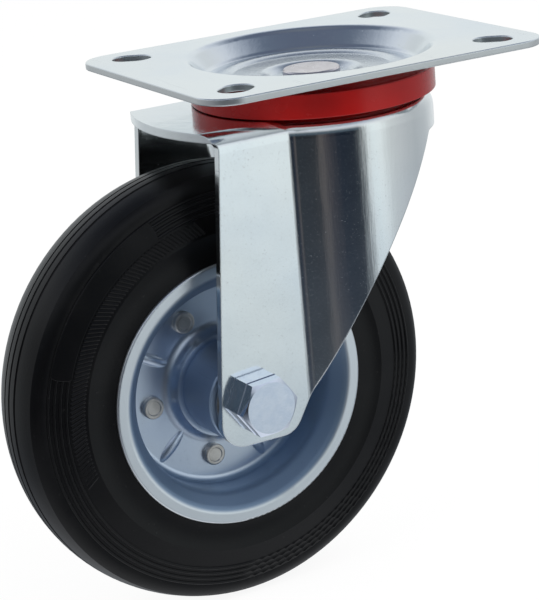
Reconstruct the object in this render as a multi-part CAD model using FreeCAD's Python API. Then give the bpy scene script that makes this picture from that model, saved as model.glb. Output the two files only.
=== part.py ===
import FreeCAD, Part
import math
import os

# Swivel castor with a top plate, a pressed steel fork, a double ball race and a
# riveted steel wheel with a rubber tyre. Millimetres, +Z up. The origin is the
# centre of the plate's top face, over the swivel axis. The wheel trails towards -X.

# Top plate
plate_length = 135.0
plate_width = 106.0
plate_thickness = 2.5
plate_corner_radius = 12.0
plate_edge_round = 0.5
slot_end_margin = 15.0
slot_side_margin = 13.0
slot_width = 11.0
slot_length = 14.0

# Dish pressed into the plate, with a pit for the head of the kingpin
dish_side_margin = 7.5
dish_wall_width = 9.0
dish_depth = 7.5
dish_foot_round = 3.0
dish_lip_round = 3.7
dish_join_width = 1.0
pit_depth = 2.0
pit_radius = 17.0
pit_slope_width = 2.0
pit_round = 1.0

# Kingpin and ball races
kingpin_head_diameter = 20.5
kingpin_head_height = 2.9
kingpin_head_chamfer = 0.5
kingpin_shank_diameter = 12.0
kingpin_tail_diameter = 18.0
kingpin_tail_height = 3.2
upper_ball_diameter = 7.94
upper_race_margin = 5.0
upper_race_depth = 0.97
lower_ball_diameter = 6.35
lower_race_radius = 22.0
lower_race_depth = 0.8
ball_spacing_gap = 0.3
race_clearance = 0.05
race_cup_thickness = 3.0
race_cup_hub_radius = 12.5
race_cup_rim_width = 5.2
race_cup_rim_rise = 3.0
race_cup_rim_slope = 1.65
race_cup_round = 3.3
race_cup_hub_round = 4.0
race_hole_margin = 0.76

# Seal ring between the plate and the fork
seal_inset = 1.9
seal_wall = 2.0
seal_top_drop = 7.3
seal_ball_gap = 0.73
seal_lip_width = 1.6
seal_flange_thickness = 1.5
seal_gap = 0.3
seal_edge_round = 0.4

# Fork
fork_thickness = 3.0
fork_half_width = 32.0
fork_barrel_inset = 1.3
fork_flare_round = 5.0
fork_crown_round = 6.5
crown_lip_reach = 65.5
crown_corner_reach = 57.0
leg_rear_top = 55.8
leg_rear_lean = 9.0
leg_rear_corner_round = 9.0
leg_front_corner = 13.5
leg_front_corner_round = 8.0
leg_below_axle = 15.0
leg_front_hollow = 2.2
leg_front_arc_share = 0.9
skirt_depth = 13.0
skirt_front = 27.0
lip_corner_round = 2.0

# Axle
axle_offset = 49.0
axle_drop = 112.0
axle_diameter = 12.0
axle_hole_clearance = 0.1
hex_across_flats = 19.0
bolt_head_height = 9.0
hex_turn = 125.0
hex_chamfer = 0.35
hex_chamfer_angle = 30.0
nut_hex_height = 9.5
nut_collar_height = 2.5
nut_collar_diameter = 17.2
nut_collar_round = 0.8
nut_insert_height = 2.0
nut_insert_diameter = 15.2
bolt_stick_out = 2.5
bolt_tip_chamfer = 1.0
sleeve_diameter = 20.0

# Roller bearing and hub
roller_diameter = 4.0
roller_end_margin = 7.0
roller_count = 14
bearing_clearance = 0.05
cage_end_margin = 2.5
cage_thickness = 2.2
cage_clearance = 0.1
hub_tube_diameter = 34.4
hub_end_gap = 1.0
hub_tube_chamfer = 0.5
end_washer_thickness = 0.75
end_washer_diameter = 30.0

# Wheel rim: two pressed halves, riveted together back to back
rim_thickness = 2.0
rim_collar_height = 8.0
rim_collar_round = 4.0
rim_seat_diameter = 80.0
rim_seat_round = 2.5
rim_flange_height = 8.3
rim_flange_offset = 19.6
rim_flange_width = 5.2
rim_flare_height = 6.2
rim_flare_round = 6.0
rim_flange_round = 3.5
rim_edge_round = 0.7
rivet_count = 5
rivet_circle_radius = 27.3
rivet_turn = 116.0
rivet_head_diameter = 8.0
rivet_head_height = 2.1
rivet_shank_diameter = 5.0
rivet_edge_round = 0.7
rivet_dish_diameter = 5.4
rivet_dish_depth = 0.3
rib_circle_radius = 29.0
rib_length = 14.0
rib_width = 4.2
rib_height = 0.9

# Tyre
tyre_diameter = 160.0
tyre_crown_radius = 33.0
tread_half_width = 12.4
tread_edge_round = 1.2
tread_groove_width = 1.2
tread_groove_depth = 0.6
tread_groove_spacing = 4.0
sidewall_rib_count = 4
sidewall_rib_width = 1.2
sidewall_rib_height = 0.5
sidewall_rib_pitch = 2.1
sidewall_rib_outer_radius = 71.3
sidewall_shoulder_width = 14.6
sidewall_shoulder_bulge = 0.4
sidewall_ridge_radius = 58.7
sidewall_ridge_width = 18.3
sidewall_bead_width = 18.6
sidewall_bead_hollow = 0.7

# How far cutting shapes reach past the faces they cut, and how closely edges are picked out
cut_past = 2.0
pick_tolerance = 0.01

# Levels and places worked out from the sizes above
plate_underside = -plate_thickness
slot_spacing_x = plate_length - 2 * slot_end_margin
slot_spacing_y = plate_width - 2 * slot_side_margin
dish_lip_radius = plate_width / 2 - dish_side_margin
dish_foot_radius = dish_lip_radius - dish_wall_width
dish_floor = -dish_depth
dish_underside = dish_floor - plate_thickness
pit_floor = dish_floor - pit_depth
pit_underside = pit_floor - plate_thickness
upper_ball_radius = upper_ball_diameter / 2
upper_race_radius = dish_foot_radius - upper_race_margin
seal_outer_radius = dish_lip_radius - seal_inset
seal_lip_radius = upper_race_radius + upper_ball_radius + seal_ball_gap
fork_barrel_radius = seal_outer_radius - fork_barrel_inset
upper_ball_level = dish_underside + upper_race_depth - race_clearance - upper_ball_radius
crown_top = upper_ball_level - upper_ball_radius - race_clearance + upper_race_depth
crown_underside = crown_top - fork_thickness
lower_ball_radius = lower_ball_diameter / 2
lower_ball_level = crown_underside + lower_race_depth - race_clearance - lower_ball_radius
cup_top = lower_ball_level - lower_ball_radius - race_clearance + lower_race_depth
crown_hole_radius = lower_race_radius - lower_ball_radius - race_clearance - race_hole_margin
fork_rear = min(-crown_lip_reach, -leg_rear_top - leg_rear_lean) - cut_past
leg_inner = fork_half_width - fork_thickness
hub_half_length = leg_inner - hub_end_gap
roller_length = 2 * (hub_half_length - roller_end_margin)
sleeve_radius = sleeve_diameter / 2
roller_circle_radius = sleeve_radius + bearing_clearance + roller_diameter / 2
hub_bore_radius = roller_circle_radius + roller_diameter / 2 + bearing_clearance
hub_tube_radius = hub_tube_diameter / 2
seat_radius = rim_seat_diameter / 2
flange_radius = seat_radius + rim_flange_height
axle_hole_radius = axle_diameter / 2 + axle_hole_clearance
tyre_radius = tyre_diameter / 2
axle_x = -axle_offset
axle_z = -axle_drop

x_axis = FreeCAD.Vector(1, 0, 0)
y_axis = FreeCAD.Vector(0, 1, 0)
z_axis = FreeCAD.Vector(0, 0, 1)
origin = FreeCAD.Vector(0, 0, 0)


def point(u, v):
    return FreeCAD.Vector(u, v, 0)


# Outlines drawn in a plane as paths with rounded corners

def rounded_edges(points, radii):
    edges = []
    start = points[0]
    for before, corner, after, radius in zip(points, points[1:], points[2:], radii):
        back = (before - corner).normalize()
        ahead = (after - corner).normalize()
        if radius == 0:
            edges.append(Part.makeLine(start, corner))
            start = corner
            continue
        half_angle = back.getAngle(ahead) / 2
        reach = radius / math.tan(half_angle)
        first = corner + back * reach
        last = corner + ahead * reach
        middle = corner + (back + ahead).normalize() * (radius / math.sin(half_angle) - radius)
        edges.append(Part.makeLine(start, first))
        edges.append(Part.Arc(first, middle, last).toShape())
        start = last
    edges.append(Part.makeLine(start, points[-1]))
    return edges


def closed_face(points, radii):
    # the path starts and ends halfway along its last side, so that each corner can be rounded
    middle = (points[0] + points[-1]) * 0.5
    path = [middle] + points + [middle]
    return Part.Face(Part.Wire(rounded_edges(path, radii)))


def side_normals(points):
    normals = []
    for start, end in zip(points, points[1:]):
        along = (end - start).normalize()
        normals.append(point(-along.y, along.x))
    return normals


def offset_path(points, thickness):
    # the same path on the other face of a sheet that lies to its left
    normals = side_normals(points)
    moved = [points[0] + normals[0] * thickness]
    for corner, before, after in zip(points[1:], normals, normals[1:]):
        turn = before + after
        moved.append(corner + turn * (2 * thickness / turn.dot(turn)))
    moved.append(points[-1] + normals[-1] * thickness)
    return moved


def sheet_face(points, radii, thickness):
    # bent sheet: its thickness lies to the left of the path, and the bends share their centres
    other = offset_path(points, thickness)
    normals = side_normals(points)
    other_radii = []
    for before, after, radius in zip(normals, normals[1:], radii):
        left_turn = before.x * after.y - before.y * after.x > 0
        other_radii.append(radius - thickness if left_turn else radius + thickness)
    edges = rounded_edges(points, radii) + rounded_edges(other, other_radii)
    edges.append(Part.makeLine(points[0], other[0]))
    edges.append(Part.makeLine(points[-1], other[-1]))
    return Part.Face(Part.Wire(Part.__sortEdges__(edges)))


def turned_about_z(face):
    upright = face.copy()
    upright.rotate(origin, x_axis, 90)
    return upright.revolve(origin, z_axis, 360)


def turned_about_y(face):
    return face.revolve(origin, y_axis, 360)


def on_axle(shape):
    placed = shape.copy()
    placed.translate(FreeCAD.Vector(axle_x, 0, axle_z))
    return placed


def along_y(radius, start, end):
    return Part.makeCylinder(radius, end - start, FreeCAD.Vector(0, start, 0), y_axis)


def hole_along_y(radius, start, end):
    return along_y(radius, start - cut_past, end + cut_past)


def hole_along_z(radius, bottom, top):
    foot = FreeCAD.Vector(0, 0, bottom - cut_past)
    return Part.makeCylinder(radius, top - bottom + 2 * cut_past, foot)


def ring(outer, inner, bottom, top):
    return turned_about_z(closed_face(
        [point(inner, bottom), point(outer, bottom), point(outer, top), point(inner, top)],
        [0, 0, 0, 0]))


def slope_between(rise, run, rounds):
    # the angle of a straight slope that joins two levels through two round bends
    low = 0.0
    high = math.pi / 2
    for _ in range(60):
        angle = (low + high) / 2
        straight = (rise - rounds * (1 - math.cos(angle))) / math.sin(angle) if angle > 0 else 0
        if rounds * math.sin(angle) + straight * math.cos(angle) > run:
            low = angle
        else:
            high = angle
    return angle


# Top plate

def slot(side_x, side_y):
    outer = FreeCAD.Vector(side_x * slot_spacing_x / 2, side_y * slot_spacing_y / 2, 0)
    inwards = (outer * -1).normalize()
    across = FreeCAD.Vector(-inwards.y, inwards.x, 0) * (slot_width / 2)
    inner = outer + inwards * (slot_length - slot_width)
    edges = [
        Part.makeLine(outer + across, inner + across),
        Part.Arc(inner + across, inner + inwards * (slot_width / 2), inner - across).toShape(),
        Part.makeLine(inner - across, outer - across),
        Part.Arc(outer - across, outer - inwards * (slot_width / 2), outer + across).toShape(),
    ]
    face = Part.Face(Part.Wire(edges))
    face.translate(FreeCAD.Vector(0, 0, plate_underside - cut_past))
    return face.extrude(FreeCAD.Vector(0, 0, plate_thickness + 2 * cut_past))


def dish_path():
    # from the rim of the dish down to the kingpin, along the sheet's upper face
    angle = slope_between(dish_depth, dish_lip_radius - dish_foot_radius, dish_lip_round + dish_foot_round)
    lip_corner = dish_lip_radius - dish_lip_round * math.tan(angle / 2)
    foot_corner = dish_foot_radius + dish_foot_round * math.tan(angle / 2)
    return [
        point(dish_lip_radius + dish_join_width, 0),
        point(lip_corner, 0),
        point(foot_corner, dish_floor),
        point(pit_radius, dish_floor),
        point(pit_radius - pit_slope_width, pit_floor),
        point(kingpin_shank_diameter / 2, pit_floor),
    ]


def make_top_plate():
    half_length = plate_length / 2
    half_width = plate_width / 2
    outline = [
        point(-half_length, -half_width), point(half_length, -half_width),
        point(half_length, half_width), point(-half_length, half_width)]
    flat = closed_face(outline, [plate_corner_radius] * 4)
    flat.translate(FreeCAD.Vector(0, 0, plate_underside))
    plate = flat.extrude(FreeCAD.Vector(0, 0, plate_thickness))
    for side_x in (-1, 1):
        for side_y in (-1, 1):
            plate = plate.cut(slot(side_x, side_y))
    rims = [edge for edge in plate.Edges if edge.BoundBox.ZLength < pick_tolerance]
    plate = plate.makeFillet(plate_edge_round, rims)
    plate = plate.cut(hole_along_z(dish_lip_radius + dish_join_width, plate_underside, 0))
    bends = [
        dish_lip_round, dish_foot_round, plate_thickness + pit_round, pit_round]
    dish = turned_about_z(sheet_face(dish_path(), bends, plate_thickness))
    plate = plate.fuse(dish)
    race_ball = upper_ball_radius + race_clearance
    groove = Part.makeTorus(upper_race_radius, race_ball, FreeCAD.Vector(0, 0, upper_ball_level))
    ridge = Part.makeTorus(
        upper_race_radius, race_ball + plate_thickness, FreeCAD.Vector(0, 0, upper_ball_level))
    above = ring(dish_foot_radius, pit_radius, dish_underside, 0)
    return plate.fuse(ridge.common(above)).cut(groove).removeSplitter()


# Swivel bearing

def make_kingpin():
    head = kingpin_head_diameter / 2
    shank = kingpin_shank_diameter / 2
    tail = kingpin_tail_diameter / 2
    top = pit_floor + kingpin_head_height
    tail_top = pit_underside - race_cup_thickness
    tail_bottom = tail_top - kingpin_tail_height
    outline = [
        point(0, tail_bottom), point(tail - kingpin_tail_height / 2, tail_bottom),
        point(tail, tail_top - kingpin_tail_height / 2), point(tail, tail_top),
        point(shank, tail_top), point(shank, pit_floor), point(head, pit_floor),
        point(head, top - kingpin_head_chamfer), point(head - kingpin_head_chamfer, top), point(0, top)]
    return turned_about_z(Part.Face(Part.makePolygon(outline + outline[:1])))


def make_lower_race():
    # pressed cup: a raised hub against the plate, and a trough that carries the lower balls
    trough = lower_ball_radius + race_clearance
    inner_foot = lower_race_radius - trough
    path = [
        point(kingpin_shank_diameter / 2, pit_underside),
        point(race_cup_hub_radius, pit_underside),
        point(inner_foot, cup_top),
        point(lower_race_radius + race_cup_rim_width - race_cup_rim_slope, cup_top),
        point(lower_race_radius + race_cup_rim_width, cup_top + race_cup_rim_rise),
    ]
    path.reverse()
    bends = [race_cup_round, race_cup_round, race_cup_hub_round]
    cup = turned_about_z(sheet_face(path, bends, race_cup_thickness))
    groove = Part.makeTorus(lower_race_radius, trough, FreeCAD.Vector(0, 0, lower_ball_level))
    return cup.cut(groove)


def balls(radius, circle, level):
    count = int(2 * math.pi * circle / (2 * radius + ball_spacing_gap))
    solids = []
    for index in range(count):
        turn = 2 * math.pi * index / count
        centre = FreeCAD.Vector(circle * math.cos(turn), circle * math.sin(turn), level)
        solids.append(Part.makeSphere(radius, centre))
    return Part.makeCompound(solids)


def make_seal_ring(top_plate):
    # an outer skirt and an inner lip that shuts off the balls, both hanging from a flange under the dish
    bottom = crown_top + seal_gap
    skirt = seal_outer_radius - seal_wall
    lip = seal_lip_radius + seal_lip_width
    top = -seal_top_drop
    flange_bottom = dish_underside - seal_flange_thickness
    outline = [
        point(seal_outer_radius, bottom), point(seal_outer_radius, top),
        point(seal_lip_radius, top), point(seal_lip_radius, bottom),
        point(lip, bottom), point(lip, flange_bottom),
        point(skirt, flange_bottom), point(skirt, bottom)]
    rounds = [seal_edge_round, seal_edge_round, 0, 0, 0, 0, 0, 0]
    pieces = turned_about_z(closed_face(outline, rounds)).cut(top_plate).Solids
    return max(pieces, key=lambda piece: piece.Volume)


# Fork

def fork_plan(inset):
    # legs that run straight at the back and flare out into the round barrel at the front
    half = fork_half_width - inset
    barrel = fork_barrel_radius - inset
    flare = fork_flare_round + inset
    flare_y = half + flare
    flare_x = -math.sqrt((barrel + flare) ** 2 - flare_y ** 2)
    on_leg = point(flare_x, half)
    centre = point(flare_x, flare_y)
    on_barrel = centre * (barrel / (barrel + flare))
    middle = centre + ((on_leg - centre) + (on_barrel - centre)).normalize() * flare
    mirror = [point(p.x, -p.y) for p in (on_leg, middle, on_barrel)]
    edges = [
        Part.makeLine(point(fork_rear, half), on_leg),
        Part.Arc(on_leg, middle, on_barrel).toShape(),
        Part.Arc(on_barrel, point(barrel, 0), mirror[2]).toShape(),
        Part.Arc(mirror[2], mirror[1], mirror[0]).toShape(),
        Part.makeLine(mirror[0], point(fork_rear, -half)),
        Part.makeLine(point(fork_rear, -half), point(fork_rear, half)),
    ]
    return Part.Face(Part.Wire(edges))


def behind_crown_lip():
    # what is trimmed off behind the bowed rear edge of the crown
    corner = point(-crown_corner_reach, -fork_half_width)
    far_corner = point(-crown_corner_reach, fork_half_width)
    side = fork_half_width + cut_past
    rear = fork_rear - cut_past
    edges = [
        Part.Arc(corner, point(-crown_lip_reach, 0), far_corner).toShape(),
        Part.makeLine(far_corner, point(-crown_corner_reach, side)),
        Part.makeLine(point(-crown_corner_reach, side), point(rear, side)),
        Part.makeLine(point(rear, side), point(rear, -side)),
        Part.makeLine(point(rear, -side), point(-crown_corner_reach, -side)),
        Part.makeLine(point(-crown_corner_reach, -side), corner),
    ]
    face = Part.Face(Part.Wire(edges))
    bottom = crown_underside - lip_corner_round
    face.translate(FreeCAD.Vector(0, 0, bottom))
    return face.extrude(FreeCAD.Vector(0, 0, crown_top + cut_past - bottom))


def rounded_prism(face, top, bottom, round_radius):
    face.translate(FreeCAD.Vector(0, 0, top))
    prism = face.extrude(FreeCAD.Vector(0, 0, bottom - top))
    rims = []
    for edge in prism.Edges:
        at_top = edge.BoundBox.ZMin > top - pick_tolerance
        at_rear = edge.BoundBox.XMax < fork_rear + pick_tolerance
        if at_top and not at_rear:
            rims.append(edge)
    return prism.makeFillet(round_radius, rims)


def side_profile():
    # the fork seen from the side: crown with its rear lip, skirt at the front, leaning legs
    leg_bottom = axle_z - leg_below_axle
    front_top = point(skirt_front, crown_top - skirt_depth)
    front_low = point(axle_x + leg_front_corner, leg_bottom)
    chord = front_top - front_low
    outward = point(-chord.y, chord.x).normalize()
    hollow = (front_top + front_low) * 0.5 + outward * leg_front_hollow
    far_front = fork_barrel_radius + cut_past
    far_rear = fork_rear - cut_past
    rear_low = point(-leg_rear_top - leg_rear_lean, leg_bottom)
    rear_top = point(-leg_rear_top, crown_underside)
    points = [
        point(far_rear, crown_top + cut_past), point(far_front, crown_top + cut_past),
        point(far_front, front_top.y), front_top, hollow, front_low, rear_low, rear_top,
        point(far_rear, crown_underside)]
    hollow_round = leg_front_arc_share * chord.Length ** 2 / (8 * leg_front_hollow)
    rounds = [0, 0, 0, lip_corner_round, hollow_round, leg_front_corner_round,
              leg_rear_corner_round, lip_corner_round, 0]
    profile = closed_face(points, rounds)
    profile.rotate(origin, x_axis, 90)
    profile.translate(FreeCAD.Vector(0, far_front, 0))
    return profile.extrude(FreeCAD.Vector(0, -2 * far_front, 0))


def make_fork():
    floor = axle_z - leg_below_axle - cut_past
    outside = rounded_prism(fork_plan(0), crown_top, floor, fork_crown_round)
    inside = rounded_prism(
        fork_plan(fork_thickness), crown_underside, floor - cut_past, fork_crown_round - fork_thickness)
    shell = outside.cut(inside).common(side_profile()).cut(behind_crown_lip())
    race_ball = upper_ball_radius + race_clearance
    groove = Part.makeTorus(upper_race_radius, race_ball, FreeCAD.Vector(0, 0, upper_ball_level))
    ridge = Part.makeTorus(
        upper_race_radius, race_ball + fork_thickness, FreeCAD.Vector(0, 0, upper_ball_level))
    below = ring(dish_foot_radius, crown_hole_radius, crown_underside - fork_thickness, crown_underside)
    lower_groove = Part.makeTorus(
        lower_race_radius, lower_ball_radius + race_clearance, FreeCAD.Vector(0, 0, lower_ball_level))
    shell = shell.fuse(ridge.common(below)).cut(groove).cut(lower_groove)
    shell = shell.cut(hole_along_z(crown_hole_radius, crown_underside - fork_thickness, crown_top))
    hole = on_axle(hole_along_y(axle_hole_radius, -fork_half_width, fork_half_width))
    return shell.cut(hole).removeSplitter()


# Axle

def hexagon(start, end):
    corner = hex_across_flats / 2 / math.cos(math.pi / 6)
    points = []
    for index in range(6):
        turn = math.radians(hex_turn + 60 * index)
        points.append(FreeCAD.Vector(corner * math.cos(turn), start, corner * math.sin(turn)))
    face = Part.Face(Part.makePolygon(points + points[:1]))
    return face.extrude(FreeCAD.Vector(0, end - start, 0))


def chamfered(hexagonal, outer_face, inwards):
    # the corners are turned off by a flat cone that meets the outer face just inside the flats
    rim = hex_across_flats / 2 - hex_chamfer
    depth = bolt_head_height + nut_hex_height
    wide = rim + depth / math.tan(math.radians(hex_chamfer_angle))
    direction = FreeCAD.Vector(0, inwards, 0)
    cone = Part.makeCone(rim, wide, depth, FreeCAD.Vector(0, outer_face, 0), direction)
    return hexagonal.common(cone)


def end_rims(shape, end):
    return [edge for edge in shape.Edges if edge.BoundBox.YMin > end - pick_tolerance]


def make_axle_bolt():
    head_face = -fork_half_width - bolt_head_height
    tip = fork_half_width + nut_hex_height + nut_collar_height + bolt_stick_out
    head = chamfered(hexagon(head_face, -fork_half_width), head_face, 1)
    shank = along_y(axle_diameter / 2, -fork_half_width, tip)
    shank = shank.makeChamfer(bolt_tip_chamfer, end_rims(shank, tip))
    return on_axle(head.fuse(shank).removeSplitter())


def make_axle_nut():
    outer = fork_half_width + nut_hex_height
    end = outer + nut_collar_height
    body = chamfered(hexagon(fork_half_width, outer), fork_half_width, 1)
    body = chamfered(body, outer, -1)
    collar = along_y(nut_collar_diameter / 2, outer, end)
    collar = collar.makeFillet(nut_collar_round, end_rims(collar, end))
    nut = body.fuse(collar).cut(hole_along_y(axle_hole_radius, fork_half_width, end))
    nut = nut.cut(along_y(nut_insert_diameter / 2, end - nut_insert_height, end + cut_past))
    return on_axle(nut)


def make_nut_insert():
    end = fork_half_width + nut_hex_height + nut_collar_height
    body = along_y(nut_insert_diameter / 2, end - nut_insert_height, end)
    return on_axle(body.cut(hole_along_y(axle_hole_radius, end - nut_insert_height, end)))


def make_axle_sleeve():
    body = along_y(sleeve_radius, -leg_inner, leg_inner)
    return on_axle(body.cut(hole_along_y(axle_hole_radius, -leg_inner, leg_inner)))


def make_end_washer(side):
    start, end = sorted((side * (leg_inner - end_washer_thickness), side * leg_inner))
    body = along_y(end_washer_diameter / 2, start, end)
    return on_axle(body.cut(hole_along_y(sleeve_radius, start, end)))


# Roller bearing and hub

def roller_places():
    places = []
    for index in range(roller_count):
        turn = 2 * math.pi * index / roller_count
        places.append(FreeCAD.Vector(
            roller_circle_radius * math.cos(turn), 0, roller_circle_radius * math.sin(turn)))
    return places


def roller_set(radius, half_length):
    solids = []
    for place in roller_places():
        start = place - y_axis * half_length
        solids.append(Part.makeCylinder(radius, 2 * half_length, start, y_axis))
    return Part.makeCompound(solids)


def make_rollers():
    return on_axle(roller_set(roller_diameter / 2, roller_length / 2))


def make_roller_cage():
    half = roller_length / 2 + cage_end_margin
    outer = roller_circle_radius + cage_thickness / 2
    inner = roller_circle_radius - cage_thickness / 2
    body = along_y(outer, -half, half).cut(hole_along_y(inner, -half, half))
    pockets = roller_set(roller_diameter / 2 + cage_clearance, roller_length / 2 + cage_clearance)
    return on_axle(body.cut(pockets))


def widest_rims(shape, radius):
    return [edge for edge in shape.Edges if edge.BoundBox.YLength < pick_tolerance
            and edge.BoundBox.XLength > 2 * (radius - pick_tolerance)]


def make_hub_tube():
    body = along_y(hub_tube_radius, -hub_half_length, hub_half_length)
    body = body.cut(hole_along_y(hub_bore_radius, -hub_half_length, hub_half_length))
    return on_axle(body.makeChamfer(hub_tube_chamfer, widest_rims(body, hub_tube_radius)))


# Wheel rim

def rim_path():
    # the face seen from outside the wheel, from the hub collar to the edge of the flange
    collar = hub_tube_radius + rim_thickness
    inner_seat = seat_radius - rim_thickness
    flare_foot = -rim_flange_offset + rim_flare_height
    return [
        point(collar, -rim_collar_height),
        point(collar, -rim_thickness),
        point(inner_seat, -rim_thickness),
        point(inner_seat, flare_foot),
        point(flange_radius - rim_flange_width, -rim_flange_offset),
        point(flange_radius, -rim_flange_offset),
    ]


def rim_rounds():
    return [rim_collar_round, rim_seat_round, rim_flare_round, rim_flange_round]


def rivet_places():
    places = []
    for index in range(rivet_count):
        turn = math.radians(rivet_turn) + 2 * math.pi * index / rivet_count
        places.append((turn, FreeCAD.Vector(math.cos(turn), 0, math.sin(turn)) * rivet_circle_radius))
    return places


def bow_radius(span, height):
    return ((span / 2) ** 2 + height ** 2) / (2 * height)


def disc_rib(turn):
    # a leaf shape pressed up out of the disc: the part of a spindle that stands above the sheet
    along = bow_radius(rib_length, rib_height)
    across = bow_radius(rib_width, rib_height)
    half = math.sqrt(along ** 2 - (along - across) ** 2)
    start = FreeCAD.Vector(rib_circle_radius - half, 0, 0)
    end = FreeCAD.Vector(rib_circle_radius + half, 0, 0)
    top = FreeCAD.Vector(rib_circle_radius, -across, 0)
    face = Part.Face(Part.Wire([Part.Arc(start, top, end).toShape(), Part.makeLine(end, start)]))
    rib = face.revolve(start, x_axis, 360)
    rib.translate(FreeCAD.Vector(0, across - rim_thickness - rib_height, 0))
    rib.rotate(origin, y_axis, -math.degrees(turn))
    return rib.common(along_y(seat_radius, -rim_collar_height, -rim_thickness / 2))


def make_rim_half():
    half = turned_about_y(sheet_face(rim_path(), rim_rounds(), rim_thickness))
    half = half.makeFillet(rim_edge_round, widest_rims(half, flange_radius))
    for turn, place in rivet_places():
        half = half.fuse(disc_rib(turn + math.pi / rivet_count))
        hole = hole_along_y(rivet_shank_diameter / 2, -rim_thickness, 0)
        hole.translate(place)
        half = half.cut(hole)
    return half.removeSplitter()


def make_rivets():
    top = rim_thickness + rivet_head_height
    head = rivet_head_diameter / 2
    shank = rivet_shank_diameter / 2
    dish = rivet_dish_diameter / 2
    half_outline = [
        point(0, 0), point(shank, 0), point(shank, rim_thickness), point(head, rim_thickness),
        point(head, top), point(dish, top), point(dish - rivet_dish_depth, top - rivet_dish_depth),
        point(0, top - rivet_dish_depth)]
    rounds = [0, 0, 0, 0, rivet_edge_round, 0, 0, 0]
    half = turned_about_y(closed_face(half_outline, rounds))
    rivet = half.fuse(half.mirror(origin, y_axis)).removeSplitter()
    solids = []
    for _, place in rivet_places():
        copy = rivet.copy()
        copy.translate(place)
        solids.append(copy)
    return on_axle(Part.makeCompound(solids))


# Tyre

def tread_radius(width):
    return tyre_radius - tyre_crown_radius + math.sqrt(tyre_crown_radius ** 2 - width ** 2)


def tread_edges():
    # crown arc with shallow grooves round it
    edges = []
    half_groove = tread_groove_width / 2
    start = -tread_half_width
    for centre in (-tread_groove_spacing, 0.0, tread_groove_spacing):
        near = centre - half_groove
        far = centre + half_groove
        middle = (start + near) / 2
        first = point(tread_radius(near), near)
        last = point(tread_radius(far), far)
        edges.append(Part.Arc(
            point(tread_radius(start), start), point(tread_radius(middle), middle), first).toShape())
        bottom = point(tread_radius(centre) - tread_groove_depth, centre)
        edges.append(Part.Arc(first, bottom, last).toShape())
        start = far
    middle = (start + tread_half_width) / 2
    edges.append(Part.Arc(
        point(tread_radius(start), start), point(tread_radius(middle), middle),
        point(tread_radius(tread_half_width), tread_half_width)).toShape())
    return edges


def sidewall_edges(side):
    shoulder = point(tread_radius(tread_half_width), side * tread_half_width)
    below = point(sidewall_rib_outer_radius + sidewall_rib_width, side * sidewall_shoulder_width)
    ridge = point(sidewall_ridge_radius, side * sidewall_ridge_width)
    bead = point(flange_radius - rim_edge_round, side * sidewall_bead_width)
    bulge = point(sidewall_shoulder_bulge, side * sidewall_shoulder_bulge)
    middle = (shoulder + below) * 0.5 + bulge
    along = (ridge - below).normalize()
    outward = point(0, side)
    edges = [Part.Arc(shoulder, middle, below).toShape()]
    start = below
    for index in range(sidewall_rib_count):
        first = below + along * (index * sidewall_rib_pitch)
        last = first + along * sidewall_rib_width
        crest = (first + last) * 0.5 + outward * sidewall_rib_height
        if index > 0:
            edges.append(Part.makeLine(start, first))
        edges.append(Part.Arc(first, crest, last).toShape())
        start = last
    edges.append(Part.makeLine(start, ridge))
    hollow = (ridge + bead) * 0.5 - outward * sidewall_bead_hollow
    edges.append(Part.Arc(ridge, hollow, bead).toShape())
    return edges


def bead_points(side):
    # where the tyre meets the rim: the far face of the rim's sheet, from the seat to the flange
    foot, top, edge = offset_path(rim_path(), rim_thickness)[3:]
    edge = edge - point(rim_edge_round, 0)
    return [point(p.x, -side * p.y) for p in (foot, top, edge)]


def make_tyre(rim_halves):
    bead = list(reversed(bead_points(-1))) + bead_points(1)
    rounds = [rim_flange_round - rim_thickness, rim_flare_round - rim_thickness,
              rim_flare_round - rim_thickness, rim_flange_round - rim_thickness]
    edges = tread_edges() + sidewall_edges(-1) + sidewall_edges(1)
    edges += rounded_edges(bead, rounds)
    for side, end in ((-1, bead[0]), (1, bead[-1])):
        edges.append(Part.makeLine(point(flange_radius - rim_edge_round, side * sidewall_bead_width), end))
    face = Part.Face(Part.Wire(Part.__sortEdges__(edges)))
    tyre = turned_about_y(face)
    for half in rim_halves:
        tyre = tyre.cut(half)
    return on_axle(tyre)


def build():
    top_plate = make_top_plate()
    rim_half = make_rim_half()
    far_half = rim_half.mirror(origin, y_axis)
    return {
        "top_plate": top_plate,
        "kingpin": make_kingpin(),
        "lower_race": make_lower_race(),
        "upper_balls": balls(upper_ball_radius, upper_race_radius, upper_ball_level),
        "lower_balls": balls(lower_ball_radius, lower_race_radius, lower_ball_level),
        "seal_ring": make_seal_ring(top_plate),
        "fork": make_fork(),
        "axle_bolt": make_axle_bolt(),
        "axle_nut": make_axle_nut(),
        "nut_insert": make_nut_insert(),
        "axle_sleeve": make_axle_sleeve(),
        "end_washer_near": make_end_washer(-1),
        "end_washer_far": make_end_washer(1),
        "roller_cage": make_roller_cage(),
        "rollers": make_rollers(),
        "hub_tube": make_hub_tube(),
        "rim_half_near": on_axle(rim_half),
        "rim_half_far": on_axle(far_half),
        "rim_rivets": make_rivets(),
        "tyre": make_tyre((rim_half, far_half)),
    }


os.makedirs("parts", exist_ok=True)
for name, shape in build().items():
    shape.exportStep("parts/" + name + ".step")
    print(name, len(shape.Solids), "solids,", round(shape.Volume), "mm3, valid", shape.isValid())
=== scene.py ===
import math

import bmesh
import bpy
from mathutils import Matrix, Vector


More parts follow.
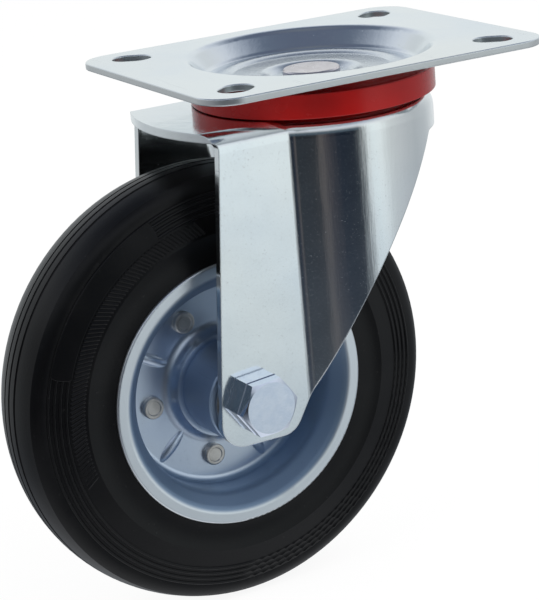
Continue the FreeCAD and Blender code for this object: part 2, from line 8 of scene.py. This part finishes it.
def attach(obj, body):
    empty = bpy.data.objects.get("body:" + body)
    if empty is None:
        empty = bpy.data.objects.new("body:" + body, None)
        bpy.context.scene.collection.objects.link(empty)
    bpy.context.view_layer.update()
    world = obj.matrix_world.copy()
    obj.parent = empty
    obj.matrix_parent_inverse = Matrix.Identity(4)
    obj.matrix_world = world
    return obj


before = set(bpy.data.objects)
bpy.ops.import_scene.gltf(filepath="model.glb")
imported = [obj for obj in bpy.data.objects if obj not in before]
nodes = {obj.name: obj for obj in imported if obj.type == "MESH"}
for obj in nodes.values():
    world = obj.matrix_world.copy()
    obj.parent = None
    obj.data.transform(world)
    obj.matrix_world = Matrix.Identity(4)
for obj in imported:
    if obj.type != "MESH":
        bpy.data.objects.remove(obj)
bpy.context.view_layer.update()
print("frame loaded:", len(nodes), "nodes")

axle = Vector((-0.049, 0.0, -0.112))  # centre of the wheel


class Wire:
    # an output socket in a material; sums and products of wires add Math nodes
    def __init__(self, tree, socket=None):
        self.tree = tree
        self.socket = socket

    def node(self, kind, settings=None, inputs=None, output=0):
        made = self.tree.nodes.new(kind)
        for name, value in (settings or {}).items():
            if name == "stops":
                ramp = made.color_ramp
                while len(ramp.elements) < len(value):
                    ramp.elements.new(0.5)
                for element, (position, colour) in zip(ramp.elements, value):
                    element.position = position
                    element.color = (*colour, 1.0)
            else:
                setattr(made, name, value)
        for name, value in (inputs or {}).items():
            self.plug(made.inputs[name], value)
        return Wire(self.tree, made.outputs[output])

    def plug(self, socket, value):
        if isinstance(value, Wire):
            self.tree.links.new(value.socket, socket)
        else:
            socket.default_value = value

    def maths(self, operation, *values):
        return self.node("ShaderNodeMath", {"operation": operation}, dict(enumerate(values)))

    def __add__(self, other):
        return self.maths("ADD", self, other)

    def __sub__(self, other):
        return self.maths("SUBTRACT", self, other)

    def __rsub__(self, other):
        return self.maths("SUBTRACT", other, self)

    def __mul__(self, other):
        return self.maths("MULTIPLY", self, other)

    __radd__ = __add__
    __rmul__ = __mul__

    def between(self, low, high):
        # 0 below low, 1 above high, smooth in between
        return self.node("ShaderNodeMapRange", {"interpolation_type": "SMOOTHSTEP"},
                         {"Value": self, "From Min": low, "From Max": high})

    def split(self):
        parts = self.tree.nodes.new("ShaderNodeSeparateXYZ")
        self.plug(parts.inputs[0], self)
        return [Wire(self.tree, parts.outputs[i]) for i in range(3)]

    def distance(self, other):
        # how far a point lies from an axis, from its two coordinates across it
        return self.maths("SQRT", self * self + other * other)

    def mix(self, first, second):
        # this wire is the share of the second colour; sockets 6, 7 and 2 are the colour ones
        made = self.tree.nodes.new("ShaderNodeMix")
        made.data_type = "RGBA"
        self.plug(made.inputs[0], self)
        for socket, value in ((made.inputs[6], first), (made.inputs[7], second)):
            self.plug(socket, value if isinstance(value, Wire) else (*value, 1.0))
        return Wire(self.tree, made.outputs[2])


def newMaterial(name, build, **fixed):
    material = bpy.data.materials.new(name)
    material.use_nodes = True
    tree = material.node_tree
    tree.nodes.clear()
    output = tree.nodes.new("ShaderNodeOutputMaterial")
    shader = tree.nodes.new("ShaderNodeBsdfPrincipled")
    tree.links.new(shader.outputs[0], output.inputs[0])
    start = Wire(tree)
    place = start.node("ShaderNodeTexCoord", output=3)  # Object coordinates
    for socket, value in fixed.items():
        shader.inputs[socket.replace("_", " ")].default_value = value
    for socket, value in build(place).items():
        start.plug(shader.inputs[socket], value)
    return material


def noise(place, scale, detail=2.0, roughness=0.5, stretch=None, turn=(0, 0, 0)):
    if stretch:
        place = place.node("ShaderNodeMapping", None,
                           {"Vector": place, "Scale": stretch, "Rotation": turn})
    return place.node("ShaderNodeTexNoise", None,
                      {"Vector": place, "Scale": scale, "Detail": detail, "Roughness": roughness})


def bump(height, distance, normal=None):
    inputs = {"Height": height, "Distance": distance}
    if normal is not None:
        inputs["Normal"] = normal
    return height.node("ShaderNodeBump", None, inputs)


def scratches(place, count, lengthwise, turn):
    # long thin marks: noise drawn out along one direction, only its rare peaks kept
    marks = noise(place, count, detail=3.0, roughness=0.6, stretch=(1.0, lengthwise, 1.0), turn=turn)
    return marks.between(0.68, 0.73)


# Zinc plating: bright, nearly a mirror, with pale tints, soft dents and fine marks. Depths in metres
zincLook = {
    "pale": (0.86, 0.90, 0.91), "warm": (0.88, 0.88, 0.84), "blue": (0.79, 0.85, 0.90),
    "roughness": 0.07, "roughnessSpread": 0.10,
    "dent": 0.00020, "grain": 0.000008, "streak": 0.00009, "edge": 0.0006,
}
rimLook = {
    "pale": (0.68, 0.77, 0.89), "warm": (0.72, 0.78, 0.86), "blue": (0.58, 0.68, 0.84),
    "roughness": 0.29, "roughnessSpread": 0.08,
    "dent": 0.00016, "grain": 0.000008, "streak": 0.00003, "edge": 0.0005,
}

# What all the plating shares: how fine each pattern is, and how much the marks and specks show
plating = {
    "cloudScale": 22.0, "tintScale": 9.0, "drawnScale": 130.0, "drawnStretch": (1.0, 1.0, 0.10),
    "speckScale": 1300.0, "roughScale": 60.0, "dentScale": 30.0, "grainScale": 900.0,
    "warmShare": 0.6, "markShare": 0.22, "markColour": (0.50, 0.53, 0.55),
    "markRoughness": 0.12, "speckRoughness": 0.14, "edgeSamples": 4,
}


def zinc(look):
    def build(place):
        clouds = noise(place, plating["cloudScale"], detail=3.0).between(0.35, 0.75)
        tints = noise(place, plating["tintScale"]).between(0.50, 0.72)
        drawn = noise(place, plating["drawnScale"], detail=4.0, roughness=0.65,
                      stretch=plating["drawnStretch"])
        specks = noise(place, plating["speckScale"]).between(0.60, 0.72) * drawn.between(0.46, 0.62)
        marks = scratches(place, count=1500.0, lengthwise=0.02, turn=(0.3, 0.2, 0.5))
        marks = marks + scratches(place, count=1300.0, lengthwise=0.03, turn=(1.2, 0.4, 2.2))
        colour = clouds.mix(look["pale"], look["blue"])
        colour = (tints * plating["warmShare"]).mix(colour, look["warm"])
        colour = (marks * plating["markShare"]).mix(colour, plating["markColour"])
        rough = noise(place, plating["roughScale"], detail=4.0)
        rough = rough * look["roughnessSpread"] + look["roughness"]
        rough = rough + marks * plating["markRoughness"] + specks * plating["speckRoughness"]
        rounded = place.node("ShaderNodeBevel", {"samples": plating["edgeSamples"]},
                             {"Radius": look["edge"]})
        soft = bump(noise(place, plating["dentScale"]), look["dent"], normal=rounded)
        soft = bump(drawn, look["streak"], normal=soft)
        fine = bump(noise(place, plating["grainScale"]) + marks, look["grain"], normal=soft)
        return {"Base Color": colour, "Roughness": rough, "Normal": fine}
    return build


# Zones of the plate, in metres: each pair is where a zone begins and where it is full
plateZones = {
    "top": (-0.0006, -0.0002), "aboveUnderside": (-0.0024, -0.0021), "aroundDish": (0.0465, 0.0472),
    "endEdges": (0.0625, 0.0635), "sideEdges": (0.0490, 0.0500), "pastDishFloor": (0.034, 0.038),
    # slotPaintedShade is painted shade on the walls of the slots
    "slotPaintedShade": (0.46, 0.50, 0.51), "edgeColour": (0.76, 0.78, 0.78),
    "edgeRoughness": 0.30, "dishRoughness": 0.14,
}


def plateZinc(place):
    # the sheet's cut edges are dull, with painted shade in the slots, and the floor of the dish is less
    # of a mirror
    sockets = zinc(zincLook)(place)
    x, y, z = place.split()
    radius = x.distance(y)
    cut = (1.0 - z.between(*plateZones["top"])) * z.between(*plateZones["aboveUnderside"])
    cut = cut * radius.between(*plateZones["aroundDish"])
    outside = x.maths("ABSOLUTE", x).between(*plateZones["endEdges"])
    outside = outside + y.maths("ABSOLUTE", y).between(*plateZones["sideEdges"])
    dish = 1.0 - radius.between(*plateZones["pastDishFloor"])
    # painted shade on every cut face; the outer edges get their own dull grey below, so the shade stays
    # in the slots
    colour = cut.mix(sockets["Base Color"], plateZones["slotPaintedShade"])
    sockets["Base Color"] = (cut * outside).mix(colour, plateZones["edgeColour"])
    rough = sockets["Roughness"] + cut * plateZones["edgeRoughness"]
    sockets["Roughness"] = rough + dish * plateZones["dishRoughness"]
    return sockets


# Zones of the rim, by distance from the axle in metres, with a painted highlight on the flange and
# painted shade on the wall and the hub
rimZones = {
    "flange": (0.0430, 0.0445), "wall": (0.0360, 0.0372), "pastHub": (0.0176, 0.0190),
    # the flange's paler tint is a painted highlight; the deeper blues of the wall and the hub are
    # painted shade
    "flangePaintedHighlight": (0.86, 0.91, 0.95), "wallPaintedShade": (0.25, 0.36, 0.50),
    "hubPaintedShade": (0.32, 0.44, 0.62), "wallShadeShare": 0.85, "hubShadeShare": 0.75,
    "wallRoughness": 0.22, "hubRoughness": 0.18,
}


def rimZinc(place):
    # painted highlight on the flange, painted shade in deeper blue on the wall below it and on the hub
    sockets = zinc(rimLook)(place)
    x, y, z = place.split()
    radius = (x - axle.x).distance(z - axle.z)
    flange = radius.between(*rimZones["flange"])
    wall = radius.between(*rimZones["wall"]) * (1.0 - flange)
    hub = 1.0 - radius.between(*rimZones["pastHub"])
    # painted highlight on the flange, then painted shade on the recessed wall and on the hub under the
    # leg
    colour = flange.mix(sockets["Base Color"], rimZones["flangePaintedHighlight"])
    colour = (wall * rimZones["wallShadeShare"]).mix(colour, rimZones["wallPaintedShade"])
    colour = (hub * rimZones["hubShadeShare"]).mix(colour, rimZones["hubPaintedShade"])
    sockets["Base Color"] = colour
    rough = sockets["Roughness"] + wall * rimZones["wallRoughness"]
    sockets["Roughness"] = rough + hub * rimZones["hubRoughness"]
    return sockets


# Plain steel: a faint cloud, a slightly uneven shine and a very fine grain
steelLook = {
    "cloudScale": 240.0, "roughScale": 500.0, "roughnessSpread": 0.15,
    "grainScale": 1400.0, "grain": 0.000008,
}


def plainSteel(light, dark, roughness):
    def build(place):
        cloud = noise(place, steelLook["cloudScale"], detail=3.0).between(0.35, 0.65)
        rough = noise(place, steelLook["roughScale"]) * steelLook["roughnessSpread"] + roughness
        grain = bump(noise(place, steelLook["grainScale"]), steelLook["grain"])
        return {"Base Color": cloud.mix(light, dark), "Roughness": rough, "Normal": grain}
    return build


# Rubber: nearly black, a little grey where it has been handled, with specks of dust
rubberLook = {
    "black": (0.002, 0.002, 0.0025), "grey": (0.007, 0.007, 0.0075), "dust": (0.06, 0.06, 0.06),
    "greyShare": 0.6, "dustShare": 0.20, "roughness": 0.27, "roughnessSpread": 0.16,
    "cloudScale": 35.0, "dustScale": 700.0, "grainScale": 1100.0, "grain": 0.00003,
}


def rubber(place):
    cloud = noise(place, rubberLook["cloudScale"], detail=4.0)
    dust = noise(place, rubberLook["dustScale"]).between(0.70, 0.78)
    handled = cloud.between(0.40, 0.75) * rubberLook["greyShare"]
    colour = handled.mix(rubberLook["black"], rubberLook["grey"])
    colour = (dust * rubberLook["dustShare"]).mix(colour, rubberLook["dust"])
    rough = cloud * rubberLook["roughnessSpread"] + rubberLook["roughness"]
    grain = bump(noise(place, rubberLook["grainScale"], detail=3.0), rubberLook["grain"])
    return {"Base Color": colour, "Roughness": rough, "Normal": grain}


# The seal ring's plastic: glossy red, a little scuffed
redLook = {
    "light": (0.42, 0.004, 0.003), "deep": (0.30, 0.003, 0.003), "scuff": (0.75, 0.40, 0.38),
    "scuffShare": 0.16, "scuffRoughness": 0.2, "roughness": 0.20, "roughnessSpread": 0.12,
    "cloudScale": 40.0, "roughScale": 120.0, "waveScale": 80.0, "wave": 0.00010,
}


def redPlastic(place):
    cloud = noise(place, redLook["cloudScale"], detail=3.0).between(0.30, 0.75)
    scuffs = scratches(place, count=60.0, lengthwise=0.2, turn=(0.4, 0.1, 0.3))
    colour = cloud.mix(redLook["light"], redLook["deep"])
    colour = (scuffs * redLook["scuffShare"]).mix(colour, redLook["scuff"])
    rough = noise(place, redLook["roughScale"], detail=3.0)
    rough = rough * redLook["roughnessSpread"] + redLook["roughness"]
    rough = rough + scuffs * redLook["scuffRoughness"]
    wave = bump(noise(place, redLook["waveScale"]), redLook["wave"])
    return {"Base Color": colour, "Roughness": rough, "Normal": wave}


# The nut's insert and the roller cage: plain moulded plastic
plasticLook = {
    "cloudScale": 150.0, "roughScale": 300.0, "roughness": 0.40, "roughnessSpread": 0.1,
    "grainScale": 1500.0, "grain": 0.00002,
}


def plainPlastic(colour, other):
    def build(place):
        cloud = noise(place, plasticLook["cloudScale"]).between(0.3, 0.7)
        rough = noise(place, plasticLook["roughScale"])
        rough = rough * plasticLook["roughnessSpread"] + plasticLook["roughness"]
        grain = bump(noise(place, plasticLook["grainScale"]), plasticLook["grain"])
        return {"Base Color": cloud.mix(colour, other), "Roughness": rough, "Normal": grain}
    return build


finishes = {
    "zincPlating": newMaterial("zincPlating", zinc(zincLook), Metallic=1.0),
    "platePlating": newMaterial("platePlating", plateZinc, Metallic=1.0),
    "rimPlating": newMaterial("rimPlating", rimZinc, Metallic=1.0),
    "pinSteel": newMaterial(
        "pinSteel", plainSteel((0.88, 0.83, 0.84), (0.78, 0.73, 0.73), 0.22), Metallic=1.0),
    "fastenerSteel": newMaterial(
        "fastenerSteel", plainSteel((0.80, 0.84, 0.90), (0.74, 0.79, 0.86), 0.16), Metallic=1.0),
    "boltSteel": newMaterial(
        "boltSteel", plainSteel((0.80, 0.86, 0.97), (0.74, 0.81, 0.94), 0.05), Metallic=1.0),
    "bearingSteel": newMaterial(
        "bearingSteel", plainSteel((0.62, 0.63, 0.64), (0.50, 0.51, 0.53), 0.14), Metallic=1.0),
    "rivetSteel": newMaterial(
        "rivetSteel", plainSteel((0.80, 0.77, 0.72), (0.66, 0.63, 0.58), 0.34), Metallic=1.0),
    "blackRubber": newMaterial("blackRubber", rubber, Specular_IOR_Level=0.28),
    "redPlastic": newMaterial(
        "redPlastic", redPlastic, Specular_IOR_Level=0.30, Coat_Weight=0.10, Coat_Roughness=0.10),
    "insertPlastic": newMaterial("insertPlastic", plainPlastic((0.78, 0.78, 0.74), (0.70, 0.70, 0.66))),
    "cagePlastic": newMaterial("cagePlastic", plainPlastic((0.05, 0.05, 0.05), (0.08, 0.08, 0.08))),
}

nodeFinishes = {
    "top_plate": "platePlating", "fork": "zincPlating", "lower_race": "zincPlating",
    "kingpin": "pinSteel", "seal_ring": "redPlastic", "upper_balls": "bearingSteel",
    "lower_balls": "bearingSteel", "axle_bolt": "boltSteel", "axle_nut": "fastenerSteel",
    "nut_insert": "insertPlastic", "axle_sleeve": "bearingSteel", "end_washer_near": "bearingSteel",
    "end_washer_far": "bearingSteel", "roller_cage": "cagePlastic", "rollers": "bearingSteel",
    "hub_tube": "rimPlating", "rim_half_near": "rimPlating", "rim_half_far": "rimPlating",
    "rim_rivets": "rivetSteel", "tyre": "blackRubber",
}
for nodeName, finish in nodeFinishes.items():
    slots = nodes[nodeName].data.materials
    slots.clear()
    slots.append(finishes[finish])
print("finishes on", len(nodeFinishes), "nodes")


def newPiece(name, mesh, finish, body):
    bmesh.ops.recalc_face_normals(mesh, faces=mesh.faces)
    data = bpy.data.meshes.new(name)
    mesh.to_mesh(data)
    mesh.free()
    data.materials.append(finishes[finish])
    piece = bpy.data.objects.new(name, data)
    bpy.context.scene.collection.objects.link(piece)
    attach(piece, body)
    return piece


# The tyre's sidewall is a shallow cone: how far out it lies at a radius from the axle
sidewall = {"ridgeRadius": 0.0587, "ridgeY": 0.0183, "slope": 0.268}


def sidewallY(radius):
    return sidewall["ridgeY"] - (radius - sidewall["ridgeRadius"]) * sidewall["slope"]


# Fine slanted ribs moulded on a stretch of both sidewalls, below the rings. Angles run from +X up
# to +Z. The top's width and length are shares of the foot's, and "standing" is a share of the height
ribs = {
    "perTurn": 256, "from": math.radians(99), "to": math.radians(198), "innerRadius": 0.0592,
    "outerRadius": 0.0650, "width": 0.00125, "height": 0.00034, "slant": math.radians(-28),
    "topWidth": 0.18, "topLength": 0.9, "standing": 0.3,
}


def makeRibs(name, side):
    mesh = bmesh.new()
    length = ribs["outerRadius"] - ribs["innerRadius"]
    middle = (ribs["innerRadius"] + ribs["outerRadius"]) / 2
    rib = bmesh.ops.create_cube(mesh, size=1.0)["verts"]
    bmesh.ops.scale(mesh, vec=(length, ribs["height"], ribs["width"]), verts=rib)
    for vert in rib:
        if vert.co.y * side > 0:  # a narrow ridge with sloping flanks
            vert.co.z *= ribs["topWidth"]
            vert.co.x *= ribs["topLength"]
    lean = Matrix.Rotation(-math.atan(sidewall["slope"]) * side, 4, "Z")
    slant = Matrix.Rotation(ribs["slant"], 4, "Y")
    level = side * (sidewallY(middle) + ribs["height"] * ribs["standing"])
    place = Matrix.Translation((middle, level, 0))
    turn = Matrix.Rotation(-ribs["from"], 4, "Y")
    bmesh.ops.transform(mesh, matrix=turn @ place @ lean @ slant, verts=rib)
    sweep = ribs["to"] - ribs["from"]
    steps = round(ribs["perTurn"] * sweep / (2 * math.pi))
    bmesh.ops.spin(mesh, geom=mesh.verts[:] + mesh.edges[:] + mesh.faces[:], cent=(0, 0, 0),
                   axis=(0, -1, 0), angle=sweep, steps=steps, use_duplicate=True)
    bmesh.ops.translate(mesh, vec=axle, verts=mesh.verts)
    return newPiece(name, mesh, "blackRubber", "wheel")


# A smooth panel with rounded ends that breaks the rings on both sidewalls
panel = {
    "from": math.radians(112), "to": math.radians(164), "innerRadius": 0.0652, "outerRadius": 0.0724,
    "height": 0.00070, "root": 0.0003, "steps": 52, "endRound": 0.0030, "endSegments": 6,
    "edgeRound": 0.00025, "edgeSegments": 2, "sharpAngle": 1.0,
}


def makePanel(name, side):
    mesh = bmesh.new()
    inner, outer = panel["innerRadius"], panel["outerRadius"]
    root, top = -panel["root"], panel["height"]
    corners = []
    for radius, lift in ((inner, root), (inner, top), (outer, top), (outer, root)):
        corners.append(mesh.verts.new((radius, side * (sidewallY(radius) + lift), 0)))
    start = mesh.faces.new(corners)
    turn = Matrix.Rotation(-panel["from"], 3, "Y")
    bmesh.ops.rotate(mesh, cent=(0, 0, 0), matrix=turn, verts=corners)
    bmesh.ops.spin(mesh, geom=[start] + start.edges[:] + corners, cent=(0, 0, 0), axis=(0, -1, 0),
                   angle=panel["to"] - panel["from"], steps=panel["steps"])
    across = Vector((0, 1, 0))
    # the two end faces look along the way round
    ends = [face for face in mesh.faces if sum(len(edge.link_faces) for edge in face.edges) == 8
            and abs(face.normal.dot(face.calc_center_median().cross(across).normalized())) > 0.9]
    endCorners = [edge for face in ends for edge in face.edges
                  if abs((edge.verts[0].co - edge.verts[1].co).y) > panel["height"]
                  and abs(edge.verts[0].co.length - edge.verts[1].co.length) < panel["height"]]
    bmesh.ops.bevel(mesh, geom=endCorners, affect="EDGES", offset=panel["endRound"],
                    segments=panel["endSegments"], profile=0.5, material=-1)
    bmesh.ops.recalc_face_normals(mesh, faces=mesh.faces)
    # the outline of the top face, outside the wall
    rims = [edge for edge in mesh.edges
            if len(edge.link_faces) == 2 and edge.calc_face_angle() > panel["sharpAngle"]
            and all(abs(vert.co.y) > sidewallY(math.hypot(vert.co.x, vert.co.z)) for vert in edge.verts)]
    bmesh.ops.bevel(mesh, geom=rims, affect="EDGES", offset=panel["edgeRound"],
                    segments=panel["edgeSegments"], profile=0.5, material=-1)
    bmesh.ops.translate(mesh, vec=axle, verts=mesh.verts)
    return newPiece(name, mesh, "blackRubber", "wheel")


for sideName, side in (("Near", -1), ("Far", 1)):
    makeRibs("sidewallRibs" + sideName, side)
    makePanel("sidewallPanel" + sideName, side)
print("sidewall ribs and panels made")

# A fine ridge round the sides of the bolt's head, with its root in the head
headRidge = {
    "place": -0.0362, "acrossFlats": 0.019, "sides": 6, "height": 0.00030, "root": 0.0002,
    "turn": math.radians(125),
}


def makeHeadRidge():
    mesh = bmesh.new()
    corner = headRidge["acrossFlats"] / 2 / math.cos(math.pi / headRidge["sides"])
    root, top = -headRidge["root"], headRidge["height"]
    foot = top - root
    profile = [mesh.verts.new((corner + lift, headRidge["place"] + across, 0))
               for across, lift in ((-foot, root), (0, top), (foot, root))]
    edges = [mesh.edges.new((profile[i], profile[(i + 1) % 3])) for i in range(3)]
    bmesh.ops.spin(mesh, geom=profile + edges, cent=(0, 0, 0), axis=(0, 1, 0), angle=2 * math.pi,
                   steps=headRidge["sides"], use_merge=True)
    turn = Matrix.Rotation(-headRidge["turn"], 3, "Y")
    bmesh.ops.rotate(mesh, cent=(0, 0, 0), matrix=turn, verts=mesh.verts)
    bmesh.ops.translate(mesh, vec=axle, verts=mesh.verts)
    return newPiece("boltHeadRidge", mesh, "boltSteel", "fork")


makeHeadRidge()
print("ridge on the bolt's head made")

# Camera, at the photograph's place
cameraPlace = {
    "location": (-0.38675, -0.67886, 0.14798),
    "right": (0.867682, -0.490690, -0.079698),
    "up": (0.211045, 0.218442, 0.952756),
    "lens": 134.01,
    "sensorWidth": 36.0,
    "clipStart": 0.01,
}
cameraData = bpy.data.cameras.new("photoCamera")
cameraData.lens = cameraPlace["lens"]
cameraData.sensor_width = cameraPlace["sensorWidth"]
cameraData.clip_start = cameraPlace["clipStart"]
camera = bpy.data.objects.new("photoCamera", cameraData)
right, up = Vector(cameraPlace["right"]), Vector(cameraPlace["up"])
turned = Matrix((right, up, right.cross(up))).transposed().to_4x4()
camera.matrix_world = Matrix.Translation(Vector(cameraPlace["location"])) @ turned
bpy.context.scene.collection.objects.link(camera)
bpy.context.scene.camera = camera

# Floor, under the wheel. It glows to the camera only, so that it looks white
floorLook = {
    "size": 30.0, "level": -0.1921, "white": 0.88, "roughness": 0.9, "specular": 0.1,
    "glow": 0.86, "glowStrength": 1.06,
}
floorMesh = bmesh.new()
bmesh.ops.create_grid(floorMesh, x_segments=1, y_segments=1, size=floorLook["size"] / 2)
floorData = bpy.data.meshes.new("floor")
floorMesh.to_mesh(floorData)
floorMesh.free()
floor = bpy.data.objects.new("floor", floorData)
floor.location.z = floorLook["level"]
floor.visible_glossy = False  # the metal shows the world below the horizon as well
bpy.context.scene.collection.objects.link(floor)


def floorFinish():
    material = bpy.data.materials.new("floorWhite")
    material.use_nodes = True
    tree = material.node_tree
    shader = tree.nodes["Principled BSDF"]
    shader.inputs["Base Color"].default_value = (floorLook["white"],) * 3 + (1.0,)
    shader.inputs["Roughness"].default_value = floorLook["roughness"]
    shader.inputs["Specular IOR Level"].default_value = floorLook["specular"]
    glow = tree.nodes.new("ShaderNodeEmission")
    glow.inputs["Strength"].default_value = floorLook["glowStrength"]
    blend = tree.nodes.new("ShaderNodeMixShader")
    wire = Wire(tree)
    cameraSees = wire.node("ShaderNodeLightPath", output=0)
    wire.plug(blend.inputs[0], cameraSees * floorLook["glow"])
    tree.links.new(shader.outputs[0], blend.inputs[1])
    tree.links.new(glow.outputs[0], blend.inputs[2])
    tree.links.new(blend.outputs[0], tree.nodes["Material Output"].inputs[0])
    return material


floorData.materials.append(floorFinish())

# World: a white studio with a dark side behind the camera, as the plating mirrors it
studio = {
    # what matt surfaces are lit by, and what the camera sees behind the castor
    "diffuse": 0.62,
    "backdrop": (1.0, 1.0, 1.0),
    # degrees round from +X towards +Y, and the colour near the horizon there
    "round": [
        (-180, (0.30, 0.31, 0.33)), (-162, (0.22, 0.23, 0.25)), (-149, (0.040, 0.046, 0.054)),
        (-136, (0.018, 0.023, 0.030)), (-122, (0.022, 0.025, 0.030)), (-116, (0.110, 0.098, 0.096)),
        (-110, (0.044, 0.042, 0.050)), (-98, (0.008, 0.014, 0.026)), (-82, (0.012, 0.017, 0.026)),
        (-75, (0.28, 0.30, 0.31)), (-71, (0.74, 0.79, 0.81)), (-64, (0.83, 0.91, 0.94)),
        (-56, (0.84, 0.90, 0.92)), (-47, (0.64, 0.68, 0.70)), (-30, (0.54, 0.57, 0.60)),
        (-10, (0.46, 0.49, 0.52)), (10, (0.52, 0.55, 0.58)), (35, (0.76, 0.79, 0.81)),
        (60, (0.80, 0.84, 0.85)), (85, (0.74, 0.78, 0.80)), (105, (0.56, 0.59, 0.61)),
        (130, (0.50, 0.53, 0.55)), (155, (0.38, 0.40, 0.42)), (180, (0.30, 0.31, 0.33))],
    # sine of the height above the horizon, and the colour up there
    "overhead": [
        (0.35, (0.86, 0.88, 0.90)), (0.60, (0.60, 0.64, 0.72)), (0.72, (0.34, 0.38, 0.46)),
        (0.82, (0.12, 0.15, 0.21)), (0.92, (0.10, 0.12, 0.18)), (1.00, (0.14, 0.16, 0.20))],
    "overheadFrom": (0.25, 0.58),
    # the dark side is less dark above the horizon; where it starts and ends, as shares of a full turn
    "darkHigh": (0.07, 0.10, 0.13),
    "darkHighFrom": (0.02, 0.18),
    "darkStart": (0.055, 0.086),
    "darkEnd": (0.275, 0.292),
    # sine of the depth below the horizon, and the colour down there
    "below": [
        (0.30, (0.12, 0.14, 0.17)), (0.50, (0.20, 0.22, 0.25)), (0.68, (0.48, 0.50, 0.53)),
        (0.85, (0.70, 0.72, 0.75)), (1.00, (0.80, 0.82, 0.85))],
    "belowFrom": (0.16, 0.58),
}
world = bpy.data.worlds.new("studio")
bpy.context.scene.world = world
world.use_nodes = True


def studioWorld(tree):
    tree.nodes.clear()
    wire = Wire(tree)
    direction = wire.node("ShaderNodeTexCoord", output=0)
    x, y, z = direction.split()
    down = z * -1.0
    around = wire.maths("ARCTAN2", y, x) * (0.5 / math.pi) + 0.5  # 0 to 1 over a full turn
    ring = [((degrees + 180) / 360, colour) for degrees, colour in studio["round"]]
    shown = wire.node("ShaderNodeValToRGB", {"stops": ring}, {0: around})
    below = wire.node("ShaderNodeValToRGB", {"stops": studio["below"]}, {0: down})
    overhead = wire.node("ShaderNodeValToRGB", {"stops": studio["overhead"]}, {0: z})
    darkSide = around.between(*studio["darkStart"]) - around.between(*studio["darkEnd"])
    shown = (darkSide * z.between(*studio["darkHighFrom"])).mix(shown, studio["darkHigh"])
    shown = down.between(*studio["belowFrom"]).mix(shown, below)
    shown = z.between(*studio["overheadFrom"]).mix(shown, overhead)
    cameraSees = wire.node("ShaderNodeLightPath", output=0)
    metalSees = wire.node("ShaderNodeLightPath", output=3)
    colour = metalSees.mix((studio["diffuse"],) * 3, shown)
    colour = cameraSees.mix(colour, studio["backdrop"])
    background = tree.nodes.new("ShaderNodeBackground")
    wire.plug(background.inputs[0], colour)
    output = tree.nodes.new("ShaderNodeOutputWorld")
    tree.links.new(background.outputs[0], output.inputs[0])


studioWorld(world.node_tree)

# Lamps: large and soft, both aimed at the middle of the castor
lamps = {
    "keyLamp": {"place": (0.9, -1.1, 1.5), "size": 1.2, "power": 14.0},
    "leftLamp": {"place": (-1.5, -0.3, 0.8), "size": 1.0, "power": 8.0},
}
lampTarget = Vector((-0.02, 0.0, -0.09))
for lampName, lamp in lamps.items():
    lampData = bpy.data.lights.new(lampName, "AREA")
    lampData.size = lamp["size"]
    lampData.energy = lamp["power"]
    lampObject = bpy.data.objects.new(lampName, lampData)
    lampObject.location = lamp["place"]
    lampObject.visible_glossy = False
    aim = lampTarget - lampObject.location
    lampObject.rotation_euler = aim.to_track_quat("-Z", "Y").to_euler()
    bpy.context.scene.collection.objects.link(lampObject)

bpy.context.scene.view_settings.view_transform = "Standard"
print("camera, floor, world and lamps set")
